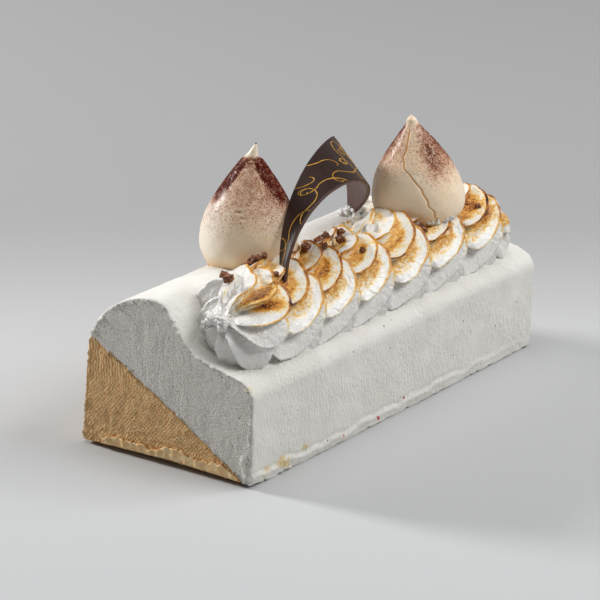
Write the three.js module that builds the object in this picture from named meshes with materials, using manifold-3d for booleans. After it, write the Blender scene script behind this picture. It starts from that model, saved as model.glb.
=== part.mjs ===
// A cut length of ice cream yule log, lying on its flat base: a white body with a
// coffee wedge in its lower back corner, a toasted cream coil piped along its
// front valley, two meringue kisses and a curled blade of thin chocolate.
//
// Millimetres. X runs along the log (the cut end shown is at -X), Y across it
// (the low shoulder is at -Y, the hump at +Y), Z up from the base.

import * as THREE from 'three'
import { mergeVertices } from 'three/addons/utils/BufferGeometryUtils.js'
import Module from 'manifold-3d'

const wasm = await Module()
wasm.setup()

// ---- Driving dimensions -------------------------------------------------------

const LENGTH = 187          // cut end to cut end
const WIDTH = 80            // across the base
const CREST = 63.3          // top of the hump
const GAP = 0.3             // air kept between pieces that touch

// The log's outline, as [place across, height] of its corners and curve pulls.
const OUTLINE = {
  wallTop: [36, 41],        // the back wall leans in and turns into the hump
  humpPull: [33.4, 52],
  crestPull: [20, 62.9],
  crest: [6, CREST],
  crestEdge: [1, CREST],    // rounds over to the steep front slope
  browPull: [-1, 61.2],
  brow: [-2.2, 59.2],
  slopeFoot: [-8.6, 50.4],
  valleyBack: [-11, 47.2],
  valleyPull: [-15, 45.2],
  valley: [-20, 44],        // the coil lies in this shallow valley
  shoulder: [-31.5, 41.4],
  shoulderPull: [-36.5, 40.2],
  frontPull: [-WIDTH / 2, 37.6],
  frontTop: [-WIDTH / 2, 33.5],
  frontWall: [[-39.5, 14], [-39.1, 5.6], [-38.4, 0.6], [-37.8, 0]],
  backWall: [[39.4, 0], [WIDTH / 2, 0.8], [39, 11.3]],
}

// The seam runs nearly straight down through the log and flattens out at its toe.
const SEAM = {
  top: [34.9, 43.2],
  topPull: [12, 30.6],
  lowPull: [-14, 16],
  knee: [-27, 6.3],
  kneePull: [-30, 4],
  toePull: [-32, 3],
  toe: [-34, 1.7],
}

// The shown end's foot is lifted off the base line, most in the middle of the log.
const LIFT = { rise: 2.2, reach: 14, height: 12, sideFade: 0.45 }

// Coffee ice cream smeared along the foot of the shown face, with a ragged top edge.
const SMEAR = {
  thick: 0.8,
  from: -32, to: 27,
  foot: 0.9,
  rise: 3.6,                // lowest height of its edge above the foot
  ragged: 1.3,              // and what the teeth add to it
  teeth: 16,
  seamFoot: 2.4,            // it stays below the seam, which rises at this rate
  seamSlope: 0.55,
}

const COIL = {
  nearEnd: -85.5,           // tip of the last turn
  farEnd: 89,
  nearCap: 24,              // length over which the near end closes
  farCap: 7,
  centreY: -16.5,
  centreZ: 49.6,
  tipRise: 8,               // the near tip is drawn up and to the front
  tipFront: 4,
  tipTilt: 0.34,            // and its flutes bulge out below it
  halfWidth: 15.2,          // of the core, without the flutes
  halfHeight: 12.6,
  backFill: 0.1,            // fuller than an ellipse where it meets the hump
  swellLength: 13,          // cream pushed up beside each kiss
  flutes: 9,                // edges left by the star nozzle in one turn
  fluteRise: 5.8,           // how far a flute's lip stands out
  firstLip: 81,             // x of the farthest lip, at the angle below
  firstAngle: 54,
  pitchFar: 26.4,           // length of a turn at the far end
  pitchShrink: 0.75,        // each later turn is shorter by this
  lipReach: 25,             // a flute's arc runs this far back along the log
  lipSpan: 52,              // and this many degrees round it
  lipStart: 0.88,           // share of the reach where the lip starts to drop
  lipFall: 0.18,            // and the share over which it drops away
  floor: 0.1,               // height of a flute's tail, and how hollow its back is
  hollow: 1.5,
  buried: 0.45,             // a flute sinks under the one before within this share
  coverFrom: 30,            // and ends this many degrees above its lip
  coverOver: 14,
  rows: 104,                // facets along the coil, closer together near the tip
  crowding: 1.12,
  facets: 54,               // and round it
}

const SWELLS = [{ x: -52, rise: 2.2 }, { x: 20, rise: 2.8 }]

const KISS_NEAR = { x: -32.8, y: 7.4, z: 62, radius: 18.5, height: 45, foot: 5, leanX: 1.4, leanY: -1.6 }
const KISS_FAR = { x: 50.4, y: -13.2, z: 62, radius: 18.3, height: 41, foot: 0.5, leanX: -3.2, leanY: 1.8 }

// A kiss has a round foot, is widest low down, and is drawn out to a point.
const KISS_SHAPE = {
  belly: 0.18,              // share of the height where it is widest
  footCurve: 0.34,
  shoulder: 1.9,
  drawn: 1.25,
  leanCurve: 1.6,
  footInset: 0.5,
  rows: 15,
  facets: 28,
}

// The chocolate is a long triangle rolled on a cylinder whose axis passes through
// (x, 0, z). Its corners are given as distance along the axis and angle round it.
const BLADE = {
  x: -3.4, z: 67.3,
  axisTurn: 57, axisRise: 14,
  radius: 26.8,
  thick: 1.4,
  tip: { along: -50.9, angle: -94.5 },
  peak: { along: 43.5, angle: 61.9 },
  heel: { along: 22.8, angle: 114.7 },
  blunt: 0.06,              // the buried tip is cut off by this share of the roll
  heelCut: 3,               // and the heel by this many degrees
  steps: [14, 6],           // facets round the roll, before and after the peak
  across: 3,
}

// Lumps of the log's own ice cream pushed up round the heel of the blade.
const HEEL = { x: 30.5, y: 5.5, ringX: 5.2, ringY: 4.4, lumps: 7, smallest: 1.7, spread: 1.1, sunk: 0.3 }

// Biscuit crumbs on the cream, each as its place in plan and its size.
const CRUMBS = [
  [-67, -6.5, 3.2], [-72, -12.5, 3.8], [-53.5, -7, 3.2], [-50.5, -8, 3.4], [-49.5, -10, 3.2], [-46.5, -10.5, 2.8],
  [-54.4, -22, 2.2], [-20.5, -10.5, 3.5], [-17.4, -17, 2.8], [-4, -4.5, 3.8], [-9.6, -11.9, 3], [4.1, -9, 3],
  [-3.3, -14.2, 3.4], [-3.8, -24.7, 2.6], [33, -25.9, 4.6], [69.5, -28.3, 2.2],
]
const CRUMB_SUNK = 0.25     // share of a crumb's size that its middle lies above the cream

// ---- Closed bodies and booleans -----------------------------------------------

function solid(geometry) {
  const plain = geometry.clone()
  for (const name of Object.keys(plain.attributes)) {
    if (name !== 'position') plain.deleteAttribute(name)
  }
  const merged = mergeVertices(plain, 1e-4)
  return new wasm.Manifold(new wasm.Mesh({
    numProp: 3,
    vertProperties: new Float32Array(merged.attributes.position.array),
    triVerts: new Uint32Array(merged.index.array),
  }))
}

function geometryOf(manifold) {
  const mesh = manifold.getMesh()
  const geometry = new THREE.BufferGeometry()
  geometry.setAttribute('position', new THREE.BufferAttribute(mesh.vertProperties, 3))
  geometry.setIndex(new THREE.BufferAttribute(mesh.triVerts, 1))
  return geometry
}

function largest(manifold) {
  const bodies = manifold.decompose()
  return bodies.reduce((a, b) => (b.volume() > a.volume() ? b : a))
}

function indexed(points, triangles) {
  const geometry = new THREE.BufferGeometry()
  geometry.setAttribute('position', new THREE.Float32BufferAttribute(points.flat(), 3))
  geometry.setIndex(triangles.flat())
  return geometry
}

// A loft of one closed (y, z) outline, running anticlockwise seen from +X,
// through stations along X. place(x, y, z) may move each point.
function loft(outline, stations, place = (x, y, z) => [x, y, z]) {
  const count = outline.length
  const points = stations.flatMap((x) => outline.map((p) => place(x, p.x, p.y)))
  const triangles = []
  for (let s = 0; s < stations.length - 1; s++) {
    for (let i = 0; i < count; i++) {
      const a = s * count + i
      const b = s * count + (i + 1) % count
      triangles.push([a, b, b + count], [a, b + count, a + count])
    }
  }
  const last = (stations.length - 1) * count
  for (const [i, j, k] of THREE.ShapeUtils.triangulateShape(outline, [])) {
    triangles.push([i, k, j], [last + i, last + j, last + k])
  }
  return indexed(points, triangles)
}

// A repeatable draw of numbers from 0 to 1.
function dice(seed) {
  let state = seed
  return () => {
    state = (state * 1664525 + 1013904223) % 4294967296
    return state / 4294967296
  }
}

const smooth = (t) => {
  const c = Math.min(Math.max(t, 0), 1)
  return c * c * (3 - 2 * c)
}
const radians = THREE.MathUtils.degToRad

const anticlockwise = (points) => (THREE.ShapeUtils.isClockWise(points) ? points.reverse() : points)

// ---- The log's outline ----------------------------------------------------------

const RUN = 6               // points taken on each curved stretch

const curve = (path, lift, ...ends) => path.bezierCurveTo(...ends.flatMap(([y, z]) => [y, z + lift]))
const line = (path, lift, ...ends) => ends.forEach(([y, z]) => path.lineTo(y, z + lift))

// Top of the log from the back wall to the front wall, raised by lift.
function topLine(path, lift) {
  const at = OUTLINE
  curve(path, lift, at.humpPull, at.crestPull, at.crest)
  curve(path, lift, at.crestEdge, at.browPull, at.brow)
  line(path, lift, at.slopeFoot)
  curve(path, lift, at.valleyBack, at.valleyPull, at.valley)
  line(path, lift, at.shoulder)
  curve(path, lift, at.shoulderPull, [at.frontPull[0] - lift, at.frontPull[1]], [at.frontTop[0] - lift, at.frontTop[1]])
}

// The seam between the coffee wedge and the white body, from the back wall down.
function seam(path, lift) {
  curve(path, lift, SEAM.topPull, SEAM.lowPull, SEAM.knee)
  curve(path, lift, SEAM.kneePull, SEAM.toePull, SEAM.toe)
}

const crown = new THREE.Path()
crown.moveTo(...OUTLINE.wallTop)
topLine(crown, 0)

function whiteOutline() {
  const shape = new THREE.Shape()
  shape.moveTo(SEAM.top[0], SEAM.top[1] + GAP)
  crown.getPoints(RUN).filter((p) => p.y > SEAM.top[1] + 1 || p.x < 0).forEach((p) => shape.lineTo(p.x, p.y))
  line(shape, 0, ...OUTLINE.frontWall, [SEAM.toe[0] - GAP, 0])
  const edge = new THREE.Path()
  edge.moveTo(SEAM.top[0], SEAM.top[1] + GAP)
  seam(edge, GAP)
  edge.getPoints(RUN).slice(1).reverse().forEach((p) => shape.lineTo(p.x, p.y))
  return anticlockwise(shape.getPoints())
}

function coffeeOutline() {
  const shape = new THREE.Shape()
  shape.moveTo(SEAM.toe[0], 0)
  line(shape, 0, ...OUTLINE.backWall, OUTLINE.wallTop, SEAM.top)
  seam(shape, 0)
  return anticlockwise(shape.getPoints(RUN))
}

// A body longer than the log that fills everything below its raised top line.
function underTop(lift) {
  const [wallY, wallZ] = OUTLINE.wallTop
  const shape = new THREE.Shape()
  shape.moveTo(WIDTH, -GAP)
  shape.lineTo(WIDTH, wallZ + lift)
  shape.lineTo(wallY, wallZ + lift)
  topLine(shape, lift)
  shape.lineTo(-WIDTH / 2 - lift, -GAP)
  return loft(anticlockwise(shape.getPoints(3 * RUN)), [-LENGTH, LENGTH])
}

// Height of the log's top line over a place across it.
const crownPoints = crown.getPoints(3 * RUN)
function topAt(y) {
  const i = crownPoints.findIndex((p) => p.x <= y)
  const [a, b] = [crownPoints[i - 1], crownPoints[i]]
  return a.y + (b.y - a.y) * (a.x - y) / (a.x - b.x)
}

const faceX = -LENGTH / 2 + SMEAR.thick
function liftedFoot(x, y, z) {
  const near = smooth((faceX + LIFT.reach - x) / LIFT.reach)
  const across = 1 - LIFT.sideFade * Math.abs(y) / (WIDTH / 2)
  const low = 1 - smooth(z / LIFT.height)
  return [x, y, z + LIFT.rise * near * across * low]
}
const stations = [0, 0.3, 0.65, 1].map((share) => faceX + share * LIFT.reach).concat([-20, 40, LENGTH / 2])

// ---- Chocolate blade --------------------------------------------------------------

const bladeAxis = new THREE.Vector3(
  Math.cos(radians(BLADE.axisRise)) * Math.cos(radians(BLADE.axisTurn)),
  Math.cos(radians(BLADE.axisRise)) * Math.sin(radians(BLADE.axisTurn)),
  Math.sin(radians(BLADE.axisRise)),
)
const bladeSide = new THREE.Vector3().crossVectors(bladeAxis, new THREE.Vector3(0, 0, 1)).normalize()
const bladeUp = new THREE.Vector3().crossVectors(bladeSide, bladeAxis)

function bladePoint(along, angle, radius) {
  return new THREE.Vector3(BLADE.x, 0, BLADE.z)
    .addScaledVector(bladeAxis, along)
    .addScaledVector(bladeUp, radius * Math.cos(radians(angle)))
    .addScaledVector(bladeSide, radius * Math.sin(radians(angle)))
    .toArray()
}

// Where one straight edge of the unrolled triangle lies at an angle.
function edgeAt(from, to, angle) {
  return from.along + (to.along - from.along) * (angle - from.angle) / (to.angle - from.angle)
}

function blade(grow) {
  const { tip, peak, heel } = BLADE
  const start = THREE.MathUtils.lerp(tip.angle, heel.angle, BLADE.blunt)
  const [rising, falling] = BLADE.steps
  const angles = [start - THREE.MathUtils.radToDeg(2 * grow / BLADE.radius)]
  for (let i = 1; i <= rising; i++) angles.push(THREE.MathUtils.lerp(start, peak.angle, i / rising))
  for (let i = 1; i <= falling; i++) {
    angles.push(THREE.MathUtils.lerp(peak.angle, heel.angle - BLADE.heelCut, i / falling))
  }
  const rings = angles.map((angle) => {
    const high = angle <= peak.angle ? edgeAt(tip, peak, angle) : edgeAt(peak, heel, angle)
    const low = edgeAt(tip, heel, angle)
    const inner = []
    const outer = []
    for (let k = 0; k <= BLADE.across; k++) {
      const along = THREE.MathUtils.lerp(low - grow, high + grow, k / BLADE.across)
      inner.push(bladePoint(along, angle, BLADE.radius - grow))
      outer.unshift(bladePoint(along, angle, BLADE.radius + BLADE.thick + grow))
    }
    return [...inner, ...outer]
  })
  return skinned(rings)
}

// Closes a run of rings, each a closed loop of points, with flat ends.
function skinned(rings) {
  const count = rings[0].length
  const points = rings.flat()
  const triangles = []
  for (let s = 0; s < rings.length - 1; s++) {
    for (let i = 0; i < count; i++) {
      const a = s * count + i
      const b = s * count + (i + 1) % count
      triangles.push([a, b, b + count], [a, b + count, a + count])
    }
  }
  const last = (rings.length - 1) * count
  for (let i = 0; i < count / 2 - 1; i++) {
    const j = count - 1 - i
    triangles.push([i, j - 1, i + 1], [i, j, j - 1])
    triangles.push([last + i, last + i + 1, last + j - 1], [last + i, last + j - 1, last + j])
  }
  return indexed(points, triangles)
}

// ---- Meringue kisses ----------------------------------------------------------------

// Share of the widest radius at each share of the height.
function kissRadius(share) {
  const { belly, footCurve, shoulder, drawn } = KISS_SHAPE
  if (share < belly) return Math.sqrt(1 - ((belly - share) / footCurve) ** 2)
  return (1 - ((share - belly) / (1 - belly)) ** shoulder) ** drawn
}

// The foot reaches down to whatever the kiss was set on.
function kiss(size, grow) {
  const { rows, facets, footInset, leanCurve } = KISS_SHAPE
  const footRadius = size.radius * kissRadius(0) - footInset
  const profile = [new THREE.Vector2(0, -size.foot - grow), new THREE.Vector2(footRadius + grow, -size.foot - grow)]
  for (let i = 0; i < rows; i++) {
    const share = i / rows
    profile.push(new THREE.Vector2(size.radius * kissRadius(share) + grow, share * size.height))
  }
  profile.push(new THREE.Vector2(0, size.height + grow))
  const geometry = new THREE.LatheGeometry(profile, facets)
  geometry.rotateX(Math.PI / 2)
  const at = geometry.attributes.position
  for (let i = 0; i < at.count; i++) {
    const lean = Math.min(Math.max(at.getZ(i) / size.height, 0), 1) ** leanCurve
    at.setXYZ(i, size.x + at.getX(i) + size.leanX * lean, size.y + at.getY(i) + size.leanY * lean,
      size.z + at.getZ(i))
  }
  return solid(geometry)
}

// ---- Piped cream --------------------------------------------------------------------

// The star nozzle went round and round towards the near end, so each flute is a
// scale whose raised lip, a quarter of an ellipse, lies over the flutes piped before.
const lips = []
{
  let x = COIL.firstLip + COIL.pitchFar
  let angle = COIL.firstAngle
  let pitch = COIL.pitchFar
  while (x > COIL.nearEnd + COIL.nearCap / 2) {
    lips.push({ x, angle })
    angle -= 360 / COIL.flutes
    x -= pitch / COIL.flutes
    pitch -= COIL.pitchShrink / COIL.flutes
  }
}

function fluteHeight(x, angle) {
  let height = 0
  for (const [i, lip] of lips.entries()) {
    const turn = angle - lip.angle
    const above = turn - 360 * Math.round(turn / 360)
    const along = 1 + (x - lip.x) / COIL.lipReach
    const reach = Math.hypot(Math.max(along, 0), Math.max(-above / COIL.lipSpan, 0))
    const lastTurn = i >= lips.length - COIL.flutes
    const buried = lastTurn ? 1 : smooth(1 + along / COIL.buried)
    const covered = 1 - smooth((above - COIL.coverFrom) / COIL.coverOver)
    const edge = 1 - smooth((reach - COIL.lipStart) / COIL.lipFall)
    const back = COIL.floor + (1 - COIL.floor) * Math.min(reach, 1) ** COIL.hollow
    height = Math.max(height, back * edge * buried * covered)
  }
  return height
}

function swell(x) {
  return SWELLS.reduce((sum, at) => sum + at.rise * Math.exp(-(((x - at.x) / COIL.swellLength) ** 2)), 0)
}

// The cream's surface at a place along the log and an angle round the coil,
// counted from the front over the top.
function coilPoint(x, turn) {
  const nearShare = Math.max(0, (COIL.nearEnd + COIL.nearCap - x) / COIL.nearCap)
  const farShare = Math.max(0, (x - COIL.farEnd + COIL.farCap) / COIL.farCap)
  const cap = Math.sqrt(Math.max(0, (1 - nearShare ** 2) * (1 - farShare ** 2)))
  const rise = COIL.fluteRise * fluteHeight(x, turn)
  const front = Math.cos(radians(turn))
  const top = Math.sin(radians(turn))
  const fill = cap * (1 + COIL.backFill * 2 * Math.max(0, top) * Math.max(0, -front))
  const out = fill * (COIL.halfWidth + rise) * front
  const up = fill * (COIL.halfHeight + rise) * top + cap * swell(x) * smooth(2 * top - 1) * smooth(1 - 2 * front)
  const bulge = COIL.tipTilt * Math.sqrt(nearShare) * (cap * COIL.halfHeight - up)
  return [x - bulge, COIL.centreY - COIL.tipFront * nearShare - out, COIL.centreZ + COIL.tipRise * nearShare + up]
}

function coil() {
  const along = COIL.rows
  const around = COIL.facets
  const points = [coilPoint(COIL.nearEnd, 0)]
  for (let s = 1; s < along; s++) {
    const x = THREE.MathUtils.lerp(COIL.nearEnd, COIL.farEnd, (s / along) ** COIL.crowding)
    for (let i = 0; i < around; i++) points.push(coilPoint(x, 360 * i / around))
  }
  points.push(coilPoint(COIL.farEnd, 0))
  const triangles = []
  const ringStart = (s) => 1 + (s - 1) * around
  for (let i = 0; i < around; i++) {
    const j = (i + 1) % around
    triangles.push([0, ringStart(1) + i, ringStart(1) + j])
    for (let s = 1; s < along - 1; s++) {
      const a = ringStart(s)
      const b = ringStart(s + 1)
      triangles.push([a + i, b + j, a + j], [a + i, b + i, b + j])
    }
    const end = ringStart(along - 1)
    triangles.push([points.length - 1, end + j, end + i])
  }
  return indexed(points, triangles)
}

// Height of the cream over a place in plan.
function creamTop(x, y) {
  let best = coilPoint(x, 90)
  for (let turn = 15; turn <= 165; turn++) {
    const point = coilPoint(x, turn)
    if (Math.abs(point[1] - y) < Math.abs(best[1] - y)) best = point
  }
  return best[2]
}

// ---- Crumbs --------------------------------------------------------------------------

const uneven = (roll) => 0.7 + 0.4 * roll()
const anyTurn = (roll) => 2 * Math.PI * roll()

// A biscuit crumb: a small block with uneven sides, turned at random.
function crumb(x, y, z, size, roll) {
  const geometry = new THREE.BoxGeometry(size, size * uneven(roll), size * uneven(roll))
  geometry.rotateZ(anyTurn(roll))
  geometry.rotateX(anyTurn(roll))
  geometry.translate(x, y, z)
  return solid(geometry)
}

function lumps(grow) {
  const roll = dice(11)
  const bodies = []
  for (let i = 0; i < HEEL.lumps; i++) {
    const turn = 2 * Math.PI * i / HEEL.lumps
    const radius = HEEL.smallest + HEEL.spread * roll()
    const y = HEEL.y + HEEL.ringY * Math.sin(turn)
    const geometry = new THREE.IcosahedronGeometry(radius + grow, 1)
    geometry.scale(1, uneven(roll), uneven(roll))
    geometry.rotateZ(anyTurn(roll))
    geometry.translate(HEEL.x + HEEL.ringX * Math.cos(turn), y, topAt(y) + HEEL.sunk * radius)
    bodies.push(solid(geometry))
  }
  return bodies.reduce((a, b) => a.add(b))
}

// ---- Assembly -------------------------------------------------------------------------

const bladeSolid = solid(blade(0))
const bladeRoom = solid(blade(GAP))
const kissNearRoom = kiss(KISS_NEAR, GAP)
const kissFarRoom = kiss(KISS_FAR, GAP)
const logRoom = solid(underTop(GAP))
const lumpRoom = lumps(1.5 * GAP)

const white = largest(solid(loft(whiteOutline(), stations, liftedFoot)).add(lumps(0)).subtract(bladeRoom))

function smear() {
  const roll = dice(5)
  const points = [new THREE.Vector2(SMEAR.to, SMEAR.foot)]
  for (let i = 0; i <= SMEAR.teeth; i++) {
    const y = THREE.MathUtils.lerp(SMEAR.to, SMEAR.from, i / SMEAR.teeth)
    const room = SMEAR.seamFoot + Math.max(0, (y - SEAM.toe[0]) * SMEAR.seamSlope)
    const height = SMEAR.foot + SMEAR.rise + SMEAR.ragged * roll()
    points.push(new THREE.Vector2(y, Math.min(height, room)))
  }
  points.push(new THREE.Vector2(SMEAR.from, SMEAR.foot))
  return loft(anticlockwise(points), [-LENGTH / 2, faceX + SMEAR.thick])
}
const coffee = largest(solid(loft(coffeeOutline(), stations, liftedFoot))
  .add(solid(smear())).subtract(white.translate([0, 0, -GAP])).subtract(white))

const crumbRoll = dice(7)
const crumbed = CRUMBS.reduce(
  (cream, [x, y, size]) => cream.add(crumb(x, y, creamTop(x, y) + CRUMB_SUNK * size, size, crumbRoll)),
  solid(coil()),
)
const cream = largest(crumbed.subtract(logRoom).subtract(lumpRoom).subtract(kissNearRoom)
  .subtract(kissFarRoom).subtract(bladeRoom))

const kissNear = largest(kiss(KISS_NEAR, 0).subtract(logRoom))
const kissFar = largest(kiss(KISS_FAR, 0).subtract(logRoom))
const chocolate = largest(bladeSolid.subtract(logRoom))

// ---- Scene graph ------------------------------------------------------------------------

const group = new THREE.Group()

function piece(name, body, color, roughness) {
  const mesh = new THREE.Mesh(geometryOf(body), new THREE.MeshStandardMaterial({ color, roughness, metalness: 0 }))
  mesh.name = name
  group.add(mesh)
}

piece('vanilla_ice', white, 0xe9e5dd, 0.7)
piece('coffee_ice', coffee, 0xc09a66, 0.8)
piece('cream_piping', cream, 0xe8dfd0, 0.55)
piece('meringue_kiss_near', kissNear, 0xd8c4a4, 0.75)
piece('meringue_kiss_far', kissFar, 0xd8c4a4, 0.75)
piece('chocolate_arch', chocolate, 0x33211b, 0.35)

export default group
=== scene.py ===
import math
import bpy
import numpy as np
from mathutils import Matrix, Vector


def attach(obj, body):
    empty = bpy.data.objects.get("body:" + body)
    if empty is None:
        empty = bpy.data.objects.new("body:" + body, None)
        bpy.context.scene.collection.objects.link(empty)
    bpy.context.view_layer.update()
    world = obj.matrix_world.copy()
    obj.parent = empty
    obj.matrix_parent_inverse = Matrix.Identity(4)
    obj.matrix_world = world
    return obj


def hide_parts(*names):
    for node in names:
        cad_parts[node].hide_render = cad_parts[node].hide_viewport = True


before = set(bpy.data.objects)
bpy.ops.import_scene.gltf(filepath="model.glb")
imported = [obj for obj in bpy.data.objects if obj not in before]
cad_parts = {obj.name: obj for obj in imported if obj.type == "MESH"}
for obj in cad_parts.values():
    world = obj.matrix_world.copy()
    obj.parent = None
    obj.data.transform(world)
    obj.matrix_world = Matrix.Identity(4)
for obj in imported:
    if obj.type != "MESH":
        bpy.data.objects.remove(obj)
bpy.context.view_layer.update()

# ---- Vanilla ice cream ------------------------------------
# The white body of the log: vanilla ice cream with its ground seeds, frozen in a
# trough mould and sawn to length while hard. Its foot is pressed into a soft band.

NEAR_FACE, FAR_FACE = -92.7, 93.5  # both cut faces, in mm along the log
HALF_WIDTH = 40
BROKEN_EDGE, RAGGED_RIM = 0.35, 1.3  # how far the faces' rims stand in, and how far they fray
FOOT_LIFT, LIFTED_LENGTH = 2.2, 14  # the near end's foot stands off the table a little
BAND_TOP, BAND_DEPTH, GROOVE_DEPTH = 4.8, 0.75, 0.25  # the band pressed along the foot


def smooth(share):
    """Eases from 0 to 1 as share goes from 0 to 1."""
    share = np.clip(share, 0, 1)
    return share * share * (3 - 2 * share)


def grain(points, size, seed=0):
    """A random field from -1 to 1 over points in mm, with bumps about size across."""
    cell = np.asarray(points, float) / size
    low = np.floor(cell).astype(np.int64)
    ease = smooth(cell - low)
    total = 0
    for corner in np.ndindex(2, 2, 2):
        at = low + corner
        key = at[..., 0] * 73856093 + at[..., 1] * 19349663 + at[..., 2] * 83492791 + seed * 7919
        key = (key ^ (key >> 13)) * 1274126177
        value = ((key ^ (key >> 16)) & 0xFFFF) / 32767.5 - 1
        total = total + value * np.prod(np.where(corner, ease, 1 - ease), axis=-1)
    return total


def curve(*knots, steps=40):
    """Points of a curve from the first knot to the last, pulled by the two between."""
    t = np.linspace(0, 1, steps + 1)[:, None]
    a, b, c, d = (np.array(knot, float) for knot in knots)
    return (1 - t) ** 3 * a + 3 * (1 - t) ** 2 * t * b + 3 * (1 - t) * t * t * c + t ** 3 * d


def evenly(outline, count):
    """A closed outline again, with count points spaced evenly."""
    loop = np.vstack([outline, outline[:1]])
    run = np.concatenate([[0], np.cumsum(np.hypot(*np.diff(loop, axis=0).T))])
    spots = np.linspace(0, run[-1], count, endpoint=False)
    return np.column_stack([np.interp(spots, run, loop[:, k]) for k in (0, 1)])


def solid(name, points, faces, **painted):
    """A smooth-shaded mesh from points in mm, with a number a point for each painted name."""
    mesh = bpy.data.meshes.new(name)
    mesh.from_pydata((np.asarray(points) * 0.001).tolist(), [], faces)
    mesh.polygons.foreach_set("use_smooth", [True] * len(mesh.polygons))
    for label, values in painted.items():
        attribute = mesh.attributes.new(label, "FLOAT", "POINT")
        attribute.data.foreach_set("value", np.asarray(values, np.float32))
    piece = bpy.data.objects.new(name, mesh)
    bpy.context.scene.collection.objects.link(piece)
    return piece


def tube_faces(rows, count, start=0, closed=True):
    """Faces of a grid of rows of points, each a closed loop when closed."""
    faces = []
    for row in range(rows - 1):
        first = start + row * count
        for i in range(count if closed else count - 1):
            j = (i + 1) % count
            faces.append((first + i, first + j, first + j + count, first + i + count))
    return faces


def capped(rings):
    """Points and faces of rings of points, closed by a middle point at both ends."""
    rings = np.asarray(rings)
    rows, count = rings.shape[:2]
    points = np.vstack([rings.reshape(-1, 3), rings[[0, -1]].mean(axis=1)])
    faces = tube_faces(rows, count)
    first, last = rows * count, rows * count + 1
    end = (rows - 1) * count
    for i in range(count):
        j = (i + 1) % count
        faces.append((first, j, i))
        faces.append((last, end + i, end + j))
    return points, faces


seam = np.vstack([
    curve((34.9, 43.2), (12, 30.6), (-14, 16), (-27, 6.3)),
    curve((-27, 6.3), (-30, 4), (-32, 3), (-34, 1.7), steps=10)[1:],
])
seam[:, 1] += 0.45 * grain(np.column_stack([seam, seam[:, 0] * 0]), 4.5, 3)
front_wall = [(-40, 33.5), (-39.5, 14), (-39.1, 5.6), (-38.4, 0.6), (-37.8, 0)]
white_outline = np.vstack([
    curve((36, 41), (33.4, 52), (20, 62.9), (6, 63.3))[5:],
    curve((6, 63.3), (1, 63.3), (-1, 61.2), (-2.2, 59.2), steps=16)[1:],
    curve((-2.2, 59.2), (-4.3, 56.3), (-6.5, 53.3), (-8.6, 50.4), steps=8)[1:],
    curve((-8.6, 50.4), (-11, 47.2), (-15, 45.2), (-20, 44), steps=16)[1:],
    curve((-20, 44), (-24, 43.1), (-28, 42.2), (-31.5, 41.4), steps=8)[1:],
    curve((-31.5, 41.4), (-36.5, 40.2), (-40, 37.6), (-40, 33.5), steps=16)[1:],
    front_wall[1:], [(-34.3, 0)], seam[::-1],
])


def foot_lift(y):
    """How far the foot of the near face stands off the table at y."""
    return FOOT_LIFT * (1 - 0.45 * np.abs(y) / HALF_WIDTH)


def sawn_log(outline, hub, count, side_rows, face_rings, side_relief, face_relief):
    """A length of the log with this outline, with rough faces and slightly broken edges."""
    ring = evenly(outline, count)
    along = np.roll(ring, -1, axis=0) - np.roll(ring, 1, axis=0)
    out = np.column_stack([along[:, 1], -along[:, 0]])
    out /= np.hypot(*out.T)[:, None]
    rings = []
    for share in np.linspace(0.03, 1, face_rings) ** 0.7:
        rings.append((NEAR_FACE, share, -1))
    for share in np.linspace(0, 1, side_rows):
        rings.append((NEAR_FACE + 0.5 + (FAR_FACE - NEAR_FACE - 1) * share, 1, 0))
    for share in np.linspace(1, 0.05, face_rings // 2) ** 0.7:
        rings.append((FAR_FACE, share, 1))
    made = []
    for x, share, face in rings:
        flat = hub + (ring - out * (BROKEN_EDGE if face else 0) - hub) * share
        points = np.column_stack([np.full(count, x), flat])
        if face:
            frayed = smooth((share - 0.93) / 0.05) * np.maximum(0, grain(points, 1.1, 8) - 0.15)
            points[:, 0] += face * (face_relief(points, face) + RAGGED_RIM * frayed)
        else:
            points[:, 1:] += out * side_relief(points)[:, None]
        made.append(points)
    points, faces = capped(made)
    near = smooth((NEAR_FACE + LIFTED_LENGTH - points[:, 0]) / LIFTED_LENGTH)
    low = 1 - smooth(points[:, 2] / 12)
    points[:, 2] += foot_lift(points[:, 1]) * near * low
    run = np.column_stack([points[:, 0], 0 * low, 0 * low])
    chipped = np.maximum(0, 0.7 * grain(run, 4, 17) + grain(run, 1.7, 18))
    chipped = chipped * smooth((-36 - points[:, 1]) / 2)
    points[:, 2] += chipped * (1 - smooth(points[:, 2] / 1.5))
    return points, faces


def white_side(points):
    """Relief of the mould's skin: soft dents, fine creases and the pressed band at the foot."""
    x, y, z = points.T
    relief = 0.16 * grain(points, 7, 1) + 0.1 * grain(points * (1, 1, 0.35), 2.4, 2)
    run = np.column_stack([x, 0 * x, 0 * x])
    edge = BAND_TOP + 0.9 * grain(run, 9, 4) + 0.8 * grain(run, 3.2, 5) + 0.4 * grain(points, 1.6, 9)
    band = smooth((edge - z) / 0.5) * (1 - 0.45 * smooth((edge - 1.2 - z) / 1.5))
    groove = np.exp(-((z - edge - 0.9) / 0.6) ** 2)
    pressed = (BAND_DEPTH * band - GROOVE_DEPTH * groove) * (y < -37)
    return relief * (z > 0.5) + pressed * smooth((60 - x) / 120 + 0.45)


def white_face(points, face):
    """Relief of the sawn faces. The near one has a thin flap standing at its lower corner."""
    y, z = points[:, 1:].T
    relief = 0.03 * grain(points * (0, 1, 0.2), 1.6, 6)
    relief = relief + 0.1 * grain(points, 5, 7) + 0.07 * grain(points, 1.2, 19)
    if face < 0:
        across = np.abs(y + 36.3 + 0.5 * np.sin(z / 2)) / 1.3
        relief = relief + 0.7 * smooth(1.6 - across) * smooth((13 - z) / 1.2) * smooth((z - 1) / 2)
    return relief


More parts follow.
